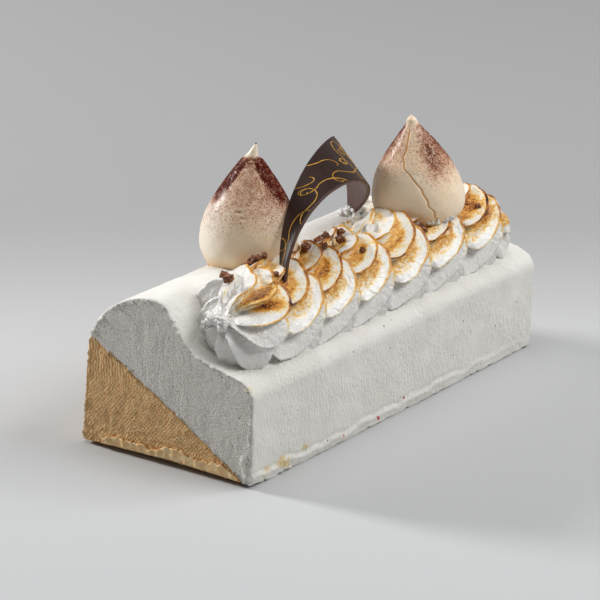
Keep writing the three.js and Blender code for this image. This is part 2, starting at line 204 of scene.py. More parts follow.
def side_marks(points, marks, flatness=1.0):
    """Soft round marks on the long side, given by their x, z and size."""
    x, y, z = points.T
    shades = sum(np.exp(-((x - at_x) ** 2 + (flatness * (z - at_z)) ** 2) / size ** 2)
                 for at_x, at_z, size in marks)
    return shades * (y < -36)


def sRGB(red, green, blue):
    """A colour as it looks, 0 to 255, turned into light."""
    light = [((c / 255 + 0.055) / 1.055) ** 2.4 if c > 10 else c / 3294 for c in (red, green, blue)]
    return (*light, 1)


class Finish:
    """A socket in a material's tree. Sums on it add Math nodes."""

    def __init__(self, tree, socket=None):
        self.tree, self.socket = tree, socket

    def node(self, kind, settings, sockets, output=0):
        made = self.tree.nodes.new(kind)
        for label, setting in settings.items():
            if label == "stops":
                ramp = made.color_ramp.elements
                while len(ramp) < len(setting):
                    ramp.new(0.5)
                for stop, (place, colour) in zip(ramp, setting):
                    stop.position, stop.color = place, colour
            else:
                setattr(made, label, setting)
        for label, value in sockets.items():
            if isinstance(value, Finish):
                self.tree.links.new(value.socket, made.inputs[label])
            else:
                made.inputs[label].default_value = value
        return Finish(self.tree, made.outputs[output])

    def math(self, operation, *values):
        return self.node("ShaderNodeMath", {"operation": operation}, dict(enumerate(values)))

    def __add__(self, other): return self.math("ADD", self, other)
    def __sub__(self, other): return self.math("SUBTRACT", self, other)
    def __rsub__(self, other): return self.math("SUBTRACT", other, self)
    def __mul__(self, other): return self.math("MULTIPLY", self, other)
    __radd__, __rmul__ = __add__, __mul__

    def ease(self, low, high):
        """From 0 at low to 1 at high, with soft ends."""
        return self.node("ShaderNodeMapRange", {"interpolation_type": "SMOOTHSTEP"},
                         {"Value": self, "From Min": low, "From Max": high})

    def part(self, axis):
        """One part of a vector."""
        return self.node("ShaderNodeSeparateXYZ", {}, {"Vector": self}, axis)

    def place(self):
        """Where on the object this is, in metres."""
        return self.node("ShaderNodeTexCoord", {}, {}, "Object")

    def on_ends(self, low, high):
        """1 on both cut faces, which look along the log, and 0 on its sides."""
        facing = self.node("ShaderNodeNewGeometry", {}, {}, "Normal").part("X")
        return facing.math("ABSOLUTE", facing).ease(low, high)

    def spots(self, scale, detail=2.0, stretch=(1, 1, 1), turn=(0, 0, 0)):
        """Noise over the object, scale bumps a metre."""
        sockets = {"Vector": self.place(), "Scale": stretch, "Rotation": turn}
        place = self.node("ShaderNodeMapping", {}, sockets)
        return self.node("ShaderNodeTexNoise", {}, {"Vector": place, "Scale": scale, "Detail": detail})

    def cells(self, scale, output="Distance"):
        """Cells over the object, scale of them a metre."""
        return self.node("ShaderNodeTexVoronoi", {}, {"Vector": self.place(), "Scale": scale}, output)

    def chance(self, scale):
        """A random number from 0 to 1 for each of those cells."""
        return self.node("ShaderNodeSeparateColor", {}, {"Color": self.cells(scale, "Color")}, "Red")

    def painted(self, label):
        return self.node("ShaderNodeAttribute", {"attribute_name": label}, {}, "Fac")

    def tint(self, under, over):
        """Under where this is 0, over where it is 1."""
        return self.node("ShaderNodeMix", {"data_type": "RGBA"}, {0: self, 6: under, 7: over}, 2)

    def raised(self, depth, strength=1.0, under=None):
        """A bump of this height field, depth in metres from black to white."""
        sockets = {"Height": self, "Distance": depth, "Strength": strength}
        if under:
            sockets["Normal"] = under
        return self.node("ShaderNodeBump", {}, sockets)


def finish(name, *pieces):
    """A new material on the pieces: its tree, and a call that sets its shader's sockets."""
    material = bpy.data.materials.new(name)
    material.use_nodes = True
    tree = material.node_tree
    shader = tree.nodes["Principled BSDF"]
    for piece in pieces:
        piece.data.materials.clear()
        piece.data.materials.append(material)

    def set_sockets(sockets):
        for label, value in sockets.items():
            if isinstance(value, Finish):
                tree.links.new(value.socket, shader.inputs[label])
            else:
                shader.inputs[label].default_value = value
    return Finish(tree), set_sockets


points, faces = sawn_log(white_outline, np.array([-5.0, 35.0]), 400, 130, 48, white_side, white_face)
stains = side_marks(points, [(-84, 4.5, 3.2), (-74, 5, 3.6), (-71, 3, 2), (-60, 6, 2), (-92, 38, 1.5)], 1.4)
berries = side_marks(points, [(-13, 2.5, 0.9), (-15, 3.6, 0.6), (4, 5.5, 0.6), (-36, 3, 0.5)])
vanilla = solid("vanilla_body", points, faces, stain=stains, berry=berries)

tree, set_sockets = finish("vanilla ice cream", vanilla)
sawn = tree.on_ends(0.7, 0.9)
SEEDS = 170  # cells a metre, most with one ground seed
seeds = (1 - tree.cells(SEEDS).ease(0.045, 0.07)) * tree.chance(SEEDS).ease(0.1, 0.11)
colour = tree.spots(90, 3).ease(0.35, 0.7).tint(sRGB(232, 229, 222), sRGB(238, 236, 230))
frost = tree.spots(2200, 3).ease(0.36, 0.64)
colour = sawn.tint(colour, frost.tint(sRGB(204, 199, 189), sRGB(255, 251, 243)))
sparkle = (1 - tree.cells(750).ease(0.2, 0.36)) * tree.spots(300, 2).ease(0.42, 0.56) * sawn
colour = (sparkle * 0.95).tint(colour, sRGB(255, 255, 255))
stain = tree.painted("stain").ease(0.15, 0.9) * tree.spots(500, 3).ease(0.4, 0.6)
colour = stain.tint(colour, sRGB(232, 205, 140))
colour = tree.painted("berry").ease(0.3, 0.6).tint(colour, sRGB(190, 60, 60))
colour = seeds.tint(colour, sRGB(105, 98, 90))
creases = tree.spots(900, 3, (1, 1, 0.5), (0, 0.5, 0)) * (1 - sawn) * tree.spots(60, 2).ease(0.3, 0.6) * 1.1
comb_marks = tree.spots(1100, 1, (1, 1, 0.12), (0.06, 0, 0)) * tree.spots(60, 1).ease(0.48, 0.6) * 1.1
saw_marks = (comb_marks + tree.spots(2200, 2) * 1.2 + sparkle * 0.6) * sawn
grit = tree.spots(1500, 2) * 0.5
set_sockets({"Base Color": colour, "Roughness": 0.62, "Specular IOR Level": 0.35,
             "Subsurface Weight": 0.1, "Subsurface Radius": (0.004, 0.0035, 0.003),
             "Normal": (creases + saw_marks + grit).raised(0.0006)})
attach(vanilla, "root")
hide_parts("vanilla_ice")


# Shavings of it are heaped at the blade's heel, round its foot, and a few lie beside
# the far kiss. Each is a small rough lump.


def pebble(centre, sizes, roughness, seed, boxy, turn, detail):
    """A rough closed lump: points in mm and faces. boxy 1 is a block, 0 is a ball."""
    ticks = np.linspace(-1, 1, detail + 1)
    u, v = np.meshgrid(ticks, ticks, indexing="ij")
    one = np.ones_like(u)
    sides = [(one, u, v), (-one, v, u), (v, one, u), (u, -one, v), (u, v, one), (v, u, -one)]
    points = np.vstack([np.stack(side, axis=-1).reshape(-1, 3) for side in sides])
    row = detail + 1
    faces = [f for k in range(6) for f in tube_faces(row, row, k * row ** 2, closed=False)]
    unique, back = np.unique(np.round(points, 6), axis=0, return_inverse=True)
    back = back.ravel()
    faces = [tuple(int(back[i]) for i in face) for face in faces]
    ball = unique / np.linalg.norm(unique, axis=1)[:, None]
    points = ball * (1 - boxy) + unique * 0.8 * boxy
    points = points * (1 + roughness * grain(points * 10 + seed * 31.7, 4.5, seed))[:, None]
    points = points * (1 + 0.4 * roughness * grain(points * 10 + seed * 11.3, 1.8, seed + 1))[:, None]
    points = points * np.asarray(sizes)
    about_x, about_y, about_z = (Matrix.Rotation(angle, 3, axis) for angle, axis in zip(turn, "XYZ"))
    return points @ np.array(about_z @ about_y @ about_x).T + np.asarray(centre), faces


def heap(name, lumps, **painted):
    """One piece from many closed lumps, with one or all of its points' numbers for each painted name."""
    points, faces, start = [], [], 0
    for part_points, part_faces in lumps:
        points.append(part_points)
        faces += [tuple(i + start for i in face) for face in part_faces]
        start += len(part_points)
    points = np.vstack(points)
    painted = {label: np.full(len(points), value) for label, value in painted.items()}
    return solid(name, points, faces, **painted)


def log_top(place):
    """Height of the log's top over a place across it."""
    top = white_outline[:90]
    order = np.argsort(top[:, 0])
    return float(np.interp(place, top[order, 0], top[order, 1]))


IN_RING, STRAYS = 29, 12  # lumps in each ring of the heap, and beside the far kiss
draw = np.random.default_rng(11)
shavings = []
for i in range(2 * IN_RING + STRAYS):
    turn = 2 * math.pi * i / IN_RING
    if i < IN_RING:
        reach, level = draw.uniform(0.75, 1.2), 0
    else:
        reach, level = draw.uniform(0.25, 0.75), draw.uniform(0.5, 2.6)
    lump_x, lump_y = 32.6 + 4.6 * reach * math.cos(turn), 5.6 + 4.2 * reach * math.sin(turn)
    if i >= 2 * IN_RING:
        lump_x, lump_y, level = draw.uniform(44, 50), draw.uniform(10.5, 14), draw.uniform(0, 1.6)
    size = draw.uniform(0.6, 1.6)
    centre = (lump_x, lump_y, log_top(lump_y) + level + 0.3 * size)
    sizes = size * draw.uniform(0.7, 1.3, 3)
    shavings.append(pebble(centre, sizes, 0.34, i + 40, 0.3, draw.uniform(0, 6, 3), 6))
shaved = heap("shaved_vanilla", shavings)
tree, set_sockets = finish("shaved vanilla ice", shaved)
colour = tree.spots(500, 2).ease(0.3, 0.7).tint(sRGB(240, 240, 238), sRGB(254, 254, 253))
set_sockets({"Base Color": colour, "Roughness": 0.4,
             "Subsurface Weight": 0.4, "Subsurface Radius": (0.006, 0.006, 0.006),
             "Normal": tree.spots(1800, 2).raised(0.0004)})
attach(shaved, "root")
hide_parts("vanilla_ice")

# ---- Coffee ice cream -------------------------------------
# The tan wedge frozen into the lower back corner. The saw has left it rough, and
# has dragged a smooth lip of it along the foot of the face.

tan_outline = np.vstack([
    [(-34, 0), (-15, 0), (0, 0), (15, 0), (39.4, 0), (40, 0.8), (39, 11.3), (36, 41)],
    seam + (0, 0.08),
])


def tan_side(points):
    return (0.15 * grain(points, 6, 11) + 0.1 * grain(points, 2, 12)) * (points[:, 2] > 0.5)


def tan_face(points, face):
    return 0.22 * grain(points, 1.8, 13) + 0.15 * grain(points, 4, 14) - 0.06


WAVE_SCALE = 314  # of a wave texture whose rows lie 1 mm apart


def saw_rows(tree, turn, spacing):
    """Wavering rows across the cut face, spacing apart in mm, turned from upright."""
    place = tree.node("ShaderNodeMapping", {}, {"Vector": tree.place(), "Rotation": (turn, 0, 0)})
    return tree.node("ShaderNodeTexWave", {"bands_direction": "Y"}, {
        "Vector": place, "Scale": WAVE_SCALE / spacing, "Distortion": 6, "Detail": 3,
        "Detail Scale": 1.6}, "Fac")


points, faces = sawn_log(tan_outline, np.array([20.0, 12.0]), 300, 100, 46, tan_side, tan_face)
coffee = solid("coffee_wedge", points, faces)

tree, set_sockets = finish("coffee ice cream", coffee)
sawn = tree.on_ends(0.5, 0.8)
crossed = saw_rows(tree, 0.8, 1.0) * 0.55 + saw_rows(tree, -0.7, 1.2) * 0.45
upright = saw_rows(tree, 0, 1.3)
high = tree.place().part("Z").ease(0.022, 0.034)
hatch = (crossed + (upright - crossed) * high) * 0.36 + tree.spots(1700, 3) * 0.64
hatch = hatch * sawn + (1 - sawn) * (tree.spots(800, 3) * 0.3 + 0.33)
colour = hatch.ease(0.38, 0.62).tint(sRGB(217, 152, 92), sRGB(255, 222, 162))
colour = (tree.spots(2200, 2).ease(0.6, 0.7) * 0.5).tint(colour, sRGB(255, 236, 190))
# Painted highlight: the cut face is painted lighter along its back edge, where the key light from behind
# catches it.
painted_edge_highlight = tree.place().part("Y").ease(0.0375, 0.0388)
colour = (painted_edge_highlight * sawn * 0.6).tint(colour, sRGB(255, 222, 170))
skin = tree.spots(140, 4).ease(0.3, 0.7).tint(sRGB(196, 148, 92), sRGB(214, 170, 114))
colour = ((1 - sawn) * 0.85).tint(colour, skin)
set_sockets({"Base Color": colour, "Roughness": 0.7, "Specular IOR Level": 0.3,
             "Subsurface Weight": 0.05, "Subsurface Radius": (0.003, 0.002, 0.001),
             "Normal": (hatch * 0.8 + tree.spots(1800, 2) * 0.5).raised(0.0012)})
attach(coffee, "root")
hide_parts("coffee_ice")

places = np.linspace(30, -33, 260)
line = np.column_stack([places * 0 + 7, places, places * 0])
ragged = 2.6 + 1.2 * grain(line, 7, 21) + grain(line, 2.4, 22) + 0.6 * grain(line, 0.9, 23)
ragged = np.maximum(ragged * smooth((33.5 + places) / 9 + 0.15) * smooth((31 - places) / 4 + 0.1), 0.25)
profile = np.array([(0.5, 0), (-0.15, 0.04), (-0.5, 0.2), (-0.55, 0.45), (-0.45, 0.7), (-0.7, 0.92),
                    (-0.62, 1.0), (-0.25, 0.97), (0.1, 0.8), (0.6, 0.5)])
rings = []
for place, tall in zip(places, 1.3 + ragged):
    thick = 1.265 + 0.66 * grain(np.array([3, place, 5.0]), 1.8, 24)
    rings.append(np.column_stack([NEAR_FACE + profile[:, 0] * thick, np.full(len(profile), place),
                                  foot_lift(place) + 0.25 + profile[:, 1] * tall]))
points, faces = capped(rings)
points[:, 0] += 0.12 * grain(points, 1.5, 25)
smear = solid("coffee_smear", points, faces)
tree, set_sockets = finish("smeared coffee ice cream", smear)
colour = tree.spots(350, 3).ease(0.4, 0.65).tint(sRGB(244, 204, 146), sRGB(255, 226, 176))
set_sockets({"Base Color": colour, "Roughness": 0.5, "Specular IOR Level": 0.4,
             "Normal": tree.spots(900, 2).raised(0.0003)})
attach(smear, "root")
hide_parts("coffee_ice")

# ---- Piped cream ------------------------------------------
# Whipped cream piped along the valley with a big star nozzle that went round and
# round towards the near end, then browned on top with a torch.

COIL_NEAR, COIL_FAR = -85.5, 89.0
COIL_Y, COIL_Z = -16.5, 49.6  # the coil's middle
NEAR_CAP, FAR_CAP = 24.0, 7.0
CORE_WIDTH, CORE_HEIGHT = 14.0, 11.4
FLUTES, FLUTE_RISE = 11, 7.6
LIP_REACH, LIP_SPAN = 25.0, 52.0
SWIRL = 62  # degrees that the flutes wind on at the near end
UNROLL = 26  # the radius at which the coil is unrolled

lips = []
for k in range(7 * FLUTES + 1):  # where each flute ends in a lip, from far to near
    lip_turn = k / FLUTES
    lip_x = float(np.interp(lip_turn, range(8), (106, 80, 54.5, 30, 5, -17.8, -39.6, -59)))
    lip_angle = (56 - 360 * lip_turn + 90) % 360 - 90
    lips.append((lip_x - 0.06 * max(0, 56 - abs(lip_angle)), lip_angle, LIP_SPAN, 0))
lips[-2:] = [(-54, 88, 40, 0), (-57.5, 62, 50, 0)]  # the two on the near hump
lips += [(x, angle, LIP_SPAN, SWIRL) for x, angle in  # the broad last ones, round the end
         [(-66.5, 10), (-71, -36), (-75, -86), (-77, -138), (-71, 172)]]


def flutes(x, angle, fullness):
    """The flutes' lips: height share, which lip is on top, how near its rim is, and how low."""
    height, second, rim, below = (np.zeros_like(x) for _ in range(4))
    winner = np.full(x.shape, -1)
    for i, (at_x, at_angle, span, swirl) in enumerate(lips):
        above = angle - swirl * (1 - fullness) * (x < 0) - at_angle
        above = above - 360 * np.round(above / 360)
        along = 1 + (x - at_x) / LIP_REACH
        under = np.maximum(-above / span, 0)
        reach = np.hypot(np.maximum(along, 0), under)
        shown = (1 - smooth((above - 34) / 16)) * (1 - 0.62 * smooth((above + 4) / 40))
        if at_x > COIL_NEAR + LIP_REACH:
            shown = shown * smooth((along + 0.2) / 0.25)
        here = (0.05 + 0.95 * np.minimum(reach, 1) ** 2.2) * shown * (1 - smooth((reach - 0.95) / 0.05))
        over = here > height
        second = np.where(over, height, np.maximum(second, here))
        height = np.where(over, here, height)
        winner = np.where(over, i, winner)
        rim = np.where(over, reach, rim)
        below = np.where(over, under / np.maximum(reach, 0.01), below)
    crease = np.exp(-((height - second) / 0.05) ** 2) * smooth(height / 0.2)
    return height - 0.1 * crease, winner, rim, below


def swell(x):
    return 2.2 * np.exp(-((x + 52) / 13) ** 2) + 2.8 * np.exp(-((x - 20) / 13) ** 2)


ALONG, SHOWN_TURN, HIDDEN_TURN = 420, 184, 44
AROUND = SHOWN_TURN + HIDDEN_TURN
share = np.arange(1, ALONG) / ALONG
grid_x = (COIL_NEAR + (COIL_FAR - COIL_NEAR) * share ** 1.1)[:, None] + np.zeros(AROUND)
grid_turn = np.concatenate([np.linspace(-82, 150, SHOWN_TURN, endpoint=False),
                            np.linspace(150, 278, HIDDEN_TURN, endpoint=False)])
grid_turn = grid_turn[None] + np.zeros((ALONG - 1, 1))
unrolled = np.stack([grid_x, UNROLL * np.cos(np.radians(grid_turn)), UNROLL * np.sin(np.radians(grid_turn))],
                    axis=-1)
near = np.maximum(0, (COIL_NEAR + NEAR_CAP - grid_x) / NEAR_CAP)
far = np.maximum(0, (grid_x - COIL_FAR + FAR_CAP) / FAR_CAP)
cap = np.sqrt(np.maximum(0, (1 - near ** 2) * (1 - far ** 2)))


def dab(x, turn, wide, tall):
    """A soft round patch on the unrolled coil."""
    return np.exp(-((grid_x - x) / wide) ** 2 - ((grid_turn - turn) / tall) ** 2)


loose = np.maximum(dab(-74, 94, 9, 17), dab(15, 95, 12, 18))  # where soft lumps hide the flutes
wavering_x = grid_x + 0.8 * grain(unrolled, 9, 31) + 0.2 * grain(unrolled, 3.2, 32)
wavering_turn = grid_turn + 2.2 * grain(unrolled, 9, 33)
height, winner, rim, below = flutes(wavering_x, wavering_turn, np.sqrt(np.maximum(0, 1 - near ** 2)))
fade = 1 - smooth((grid_x - 77) / 9)  # the far end is smooth
covered = smooth((grid_turn - 110) / 25) * smooth((-62 - grid_x) / 8)  # under the shells at the end
on_lip = smooth(height * 2.4 - 1.0) * cap * fade
droop = 5.0 * smooth((rim - 0.7) / 0.26) * below ** 2 * on_lip
front, over_top = np.cos(np.radians(grid_turn - droop)), np.sin(np.radians(grid_turn - droop))
frayed = 0.05 + 0.14 * smooth((rim - 0.78) / 0.15)
ruffle = 0.16 * grain(unrolled, 3, 34) + frayed * grain(unrolled, 1.1, 35)
lumps = 1.3 * grain(unrolled, 7, 36) * smooth((over_top - 0.75) / 0.2) * smooth(0.4 - front)
lumps = lumps + 2.6 * loose * (grain(unrolled, 5, 38) + 0.5 * grain(unrolled, 2.2, 39))
spread = 1.6 * smooth((-14 - grid_turn) / 30) * height  # the lowest lips lie out on the shoulder
dome = (1 - fade) * (4.4 + 0.8 * np.cos(np.radians(FLUTES * grid_turn + 6 * grid_x)))
scales = FLUTE_RISE * height * (1 - 0.6 * loose) * (1 - 0.85 * covered) * (1 + 0.35 * near)
rise = dome + (scales + spread) * fade + (ruffle + lumps) * cap
fill = cap * (1 + 0.2 * np.maximum(0, over_top) * np.maximum(0, -front))
out = fill * (CORE_WIDTH + rise) * front
hump = cap * swell(grid_x) * smooth(2 * over_top - 1) * smooth(1 - 2 * front)
up = fill * (CORE_HEIGHT + rise) * over_top + hump
bulge = 0.34 * np.sqrt(near) * (cap * CORE_HEIGHT - up)
curl = 1.9 * (1 - covered) * (1 - 0.6 * below) * smooth((rim - 0.74) / 0.24) * on_lip
peaks = 2.2 * np.maximum(0, grain(unrolled * (0.2, 0.5, 0.5), 2.6, 37) + 0.25)
peaks = peaks * np.exp(-(cap / 0.3) ** 2) * (grid_x < 0)
end_relief = 0.5 * (rise - 3.5) * smooth(1.4 * near - 0.1) * smooth(cap / 0.35)
coil = np.stack([grid_x - bulge + curl - peaks - end_relief, COIL_Y - 4 * near - out,
                 COIL_Z + 8 * near + up], axis=-1)

tier = smooth((grid_turn + 6) / 44) * (1 - smooth((grid_turn - 118) / 30))
strength = np.random.default_rng(4).uniform(0.8, 1.1, len(lips) + 1)[winner]
streaks = np.stack([rim * LIP_REACH, grid_turn * 0.15, winner * 9.0], axis=-1)
streaks = 1 + 0.26 * grain(streaks, 1.5, 41) + 0.2 * grain(streaks, 0.8, 42)
body_toast = (1 - 0.8 * smooth((rim - 0.76) / 0.1)) * smooth((rim - 0.36) / 0.22) * tier * strength * streaks
body_toast = body_toast * smooth((grid_x + 64) / 8)
behind = grid_turn - 100 - 0.4 * np.maximum(0, grid_x + 60)
rim_toast = smooth((grid_turn + 8) / 50) * (1 - smooth(behind / 14)) * strength * smooth((grid_x + 84) / 6)

SINGED = [(-69, 67, 10, 11, 2.1), (-76, 58, 5, 8, 1.4), (-69, 43, 7, 10, 1.9), (-33, 60, 7, 20, 0.35),
          (-52, 62, 4, 14, 0.4), (6, 60, 6, 14, 0.25), (74, 50, 7, 20, 0.8)]
singed = sum(dark * dab(*place) for *place, dark in SINGED)
body_toast = np.clip(body_toast + singed * (1 - 0.4 * smooth((rim - 0.84) / 0.08)), 0, 1.6)


def with_ends(values, ends=(0, 0)):
    """The numbers of a grid of rings and of the two points that close it."""
    return np.append(values.ravel(), ends)


def flipped(faces):
    return [tuple(reversed(face)) for face in faces]


points, faces = capped(coil)
cream = solid("piped_cream", points, flipped(faces), toast=with_ends(body_toast * (1 - loose)),
              lip=with_ends(rim_toast * (1 - loose)), reach=with_ends(rim))

tree, set_sockets = finish("toasted cream", cream)
patches = tree.spots(380, 3)
specks = tree.spots(1000, 3)
bubbles = 1 - tree.cells(1100).ease(0.12, 0.32)
body = tree.painted("toast")
burn = (body * 0.55 + (patches - 0.5) * 0.7 + (specks - 0.5) - bubbles * 0.2) * body.ease(0.02, 0.3)
reach = tree.painted("reach") + (tree.spots(500, 2) - 0.5) * 0.02
rim_line = reach.ease(0.905, 0.925) * (1 - reach.ease(0.957, 0.975)) * tree.painted("lip")
burn = burn.math("MAXIMUM", burn, rim_line * (tree.spots(200, 2) + 0.3))
colour = tree.node("ShaderNodeValToRGB", {"stops": [
    (0.0, sRGB(241, 239, 235)), (0.16, sRGB(246, 238, 220)), (0.3, sRGB(246, 218, 158)),
    (0.46, sRGB(234, 182, 90)), (0.68, sRGB(213, 145, 48)), (0.88, sRGB(150, 82, 22)),
    (1.0, sRGB(58, 28, 10))]}, {"Fac": burn})
# Painted shade: the cream is tinted grey in the hollows of the lobes, away from their rims, and less where it
# is browned.
painted_hollow_shade = (1 - tree.painted("reach").ease(0.35, 0.9)) * (1 - burn.ease(0.05, 0.3))
colour = (painted_hollow_shade * 0.62).tint(colour, sRGB(212, 207, 196))
set_sockets({"Base Color": colour, "Roughness": 0.3, "Specular IOR Level": 0.5, "Coat Weight": 0.3,
             "Coat Roughness": 0.12, "Subsurface Weight": 0.1, "Subsurface Radius": (0.004, 0.003, 0.002),
             "Normal": (tree.spots(560, 2) + tree.spots(1500, 2) * 0.35).raised(0.0007)})
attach(cream, "root")
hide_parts("cream_piping")

# The torn cream where the nozzle was pulled away, along a short line over the near end,
# and flakes of sugar along the foot of the far kiss.

KNOT = np.array([(-84.5, -12, 55), (-85.5, -14.4, 58.6), (-86.4, -17, 60), (-87, -20, 59.6),
                 (-86.6, -23, 58), (-85.4, -26, 56.4)])
FAR_KISS, FLAKE_RING = (50.4, -13.2, 62), 16.6  # its middle, and the flakes' distance from it
CAMERA_AZIMUTH = -53.811
VIEW_TURN = math.radians(CAMERA_AZIMUTH - 90)  # the side that faces the camera
draw = np.random.default_rng(23)
knot = []
for i in range(34):
    along = draw.uniform(0, 5)
    centre = np.array([np.interp(along, range(6), KNOT[:, axis]) for axis in range(3)])
    centre = centre + draw.uniform(-1.1, 1.1, 3) + (0.5, 0, -0.6)
    size = draw.uniform(0.7, 1.9)
    sizes = size * np.array([draw.uniform(0.7, 1.5), draw.uniform(0.6, 1.2), draw.uniform(0.6, 1.2)])
    knot.append(pebble(centre, sizes, 0.42, i + 80, 0.1, draw.uniform(0, 6, 3), 8))
for i in range(22):
    around = VIEW_TURN + math.radians(draw.uniform(-4, 52))
    centre = (FAR_KISS[0] + FLAKE_RING * math.cos(around), FAR_KISS[1] + FLAKE_RING * math.sin(around),
              FAR_KISS[2] + 1.6 + draw.uniform(-0.6, 1.6))
    sizes = np.array([1.0, 1.0, 0.5]) * draw.uniform(0.6, 1.5)
    knot.append(pebble(centre, sizes, 0.4, i + 130, 0.3, draw.uniform(0, 6, 3), 6))
torn_cream = heap("torn_cream", knot, reach=1.0)

# The last turns end in thin shells that fan out from the torn cream. Each is given by
# points of its rim and the point that it fans out from.


def shell(rim_knots, hub, bow, seed):
    """A cupped shell: rings from one end of its rim to the other, and each point's nearness to the rim."""
    knots = np.array(rim_knots, float)
    run = np.concatenate([[0], np.cumsum(np.linalg.norm(np.diff(knots, axis=0), axis=1))])
    ticks = np.linspace(0, run[-1], 90)
    rim_line = np.column_stack([np.interp(ticks, run, knots[:, axis]) for axis in range(3)])
    for _ in range(24):
        rim_line[1:-1] = (rim_line[:-2] + 2 * rim_line[1:-1] + rim_line[2:]) / 4
    rim_line += 0.35 * grain(rim_line, 2.6, seed)[:, None] * (0, 1, 1)
    reach = np.linspace(0.1, 1, 26)
    ends = smooth(np.minimum(ticks, run[-1] - ticks) / 3)[:, None]
    out = hub + (rim_line - hub)[:, None] * reach[None, :, None]
    front = out.copy()
    front[..., 0] -= bow * ends * np.sin(np.pi * reach ** 1.3) + 0.9 * ends * smooth((reach - 0.8) / 0.2)
    front[..., 0] += 0.12 * grain(front, 2.2, seed + 1)
    back = out.copy()
    back[..., 0] += 0.7 + 11 * (1 - reach) ** 1.2
    rings = np.concatenate([front, back[:, ::-1]], axis=1)
    return rings, np.tile(np.concatenate([reach, reach[::-1]]), (len(rings), 1))


SHELLS = [  # the rim, the point that it fans out from, and its bow
    ([(-70, -14.9, 68.3), (-71.5, -9.6, 69.1), (-73, -3.8, 66.2), (-74, 0.4, 60.4), (-74.5, 1.9, 55.1),
      (-74.5, -0.3, 49.2), (-74, -3.3, 43.9), (-73, -7.5, 40.4), (-72, -11.8, 39.8)],
     (-73, -16, 54), 1.5),
    ([(-76.5, -17, 66.5), (-78, -13.5, 65), (-79, -9.5, 62), (-79.5, -6.5, 58), (-79.5, -5.6, 54.5),
      (-79.5, -7, 49.5), (-79, -9.5, 45.5), (-78, -12.5, 42.5)],
     (-80, -17, 55), 1.6),
    ([(-83, -12.9, 56), (-84, -12.6, 52), (-84, -13.3, 48.8), (-83.5, -15.2, 45.6), (-82, -18, 43.2),
      (-81, -21, 42.8), (-81, -22.3, 46)],
     (-85.5, -18.5, 56), 2.2),
    ([(-83, -20.6, 47), (-81.5, -22.3, 43.6), (-80, -25, 42.2), (-78.5, -28, 42), (-77.5, -30.5, 43),
      (-77, -32.5, 46), (-78, -32.5, 49)],
     (-85.5, -21.5, 56), 2.6),
]
shells, nearness = [], []
for k, (rim_knots, hub, bow) in enumerate(SHELLS):
    rings, reach = shell(rim_knots, np.array(hub, float), bow, 90 + k)
    shells.append(capped(rings))
    nearness.append(with_ends(reach, (0.5, 0.5)))
# Their nearness to the rim goes in as reach, so the cream's painted shade greys them away from their rims.
end_shells = heap("cream_end_shells", shells, reach=0.5 + 0.4 * np.concatenate(nearness))
for piece in (torn_cream, end_shells):
    piece.data.materials.append(cream.data.materials[0])
    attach(piece, "root")
    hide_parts("cream_piping")

# ---- Biscuit crumbs ---------------------------------------
# Small blocks of dark baked biscuit, scattered over the cream while it was soft, so
# that each is sunk into it a little.

CRUMBS = [(-69, -9, 3.2), (-73.5, -14.5, 3.8), (-53.5, -7, 3.2), (-50.5, -8, 3.4), (-49.5, -10, 3.2),
          (-46.5, -10.5, 2.8), (-54.4, -22, 2.2), (-20.5, -10.5, 3.5), (-17.4, -17, 2.8), (-4, -4.5, 3.8),
          (-9.6, -11.9, 3), (4.1, -9, 3), (-3.3, -14.2, 3.4), (-3.8, -24.7, 2.6), (33, -25.9, 4.6),
          (69.5, -28.3, 2.2)]  # x, y and size
draw = np.random.default_rng(7)
lumps = []
for k, (crumb_x, crumb_y, size) in enumerate(CRUMBS):
    beside = np.hypot(coil[..., 0] - crumb_x, coil[..., 1] - crumb_y) < 0.35 * size
    centre = (crumb_x, crumb_y, coil[beside, 2].max() + 0.25 * size)
    sizes = size * 0.5 * draw.uniform(0.8, 1.15, 3)
    lumps.append(pebble(centre, sizes, 0.22, k, 0.75, draw.uniform(0, 6, 3), 9))
crumbs = heap("biscuit_crumbs", lumps)
tree, set_sockets = finish("dark biscuit", crumbs)
pores = tree.spots(1500, 3)
set_sockets({"Base Color": pores.ease(0.35, 0.65).tint(sRGB(76, 42, 27), sRGB(176, 112, 74)),
             "Roughness": 0.6, "Normal": pores.raised(0.0008)})
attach(crumbs, "root")
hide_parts("cream_piping")

# ---- Meringue kisses --------------------------------------
# Two baked meringue drops, piped with a plain nozzle that was pulled away upwards,
# dusted with cocoa from behind. The far one cracked in the oven.

NEAR_RADIUS, NEAR_TALL = 18.5, 45.6
FAR_RADIUS, FAR_TALL = 18.3, 41
BEAK_FROM, BEAK_RADIUS = 0.853, 2.9  # the near one's snapped beak, from this height share
BEAK_BEND = 1.1 * np.array([0.59, -0.807])  # to the camera's right


def kiss_radius(share):
    """Share of the widest radius at a share of the height."""
    below = np.sqrt(np.clip(1 - ((0.18 - share) / 0.34) ** 2, 0, 1))
    above = np.clip(1 - (np.clip((share - 0.18) / 0.82, 0, 1)) ** 1.9, 0, 1) ** 1.25
    return np.where(share < 0.18, below, above)


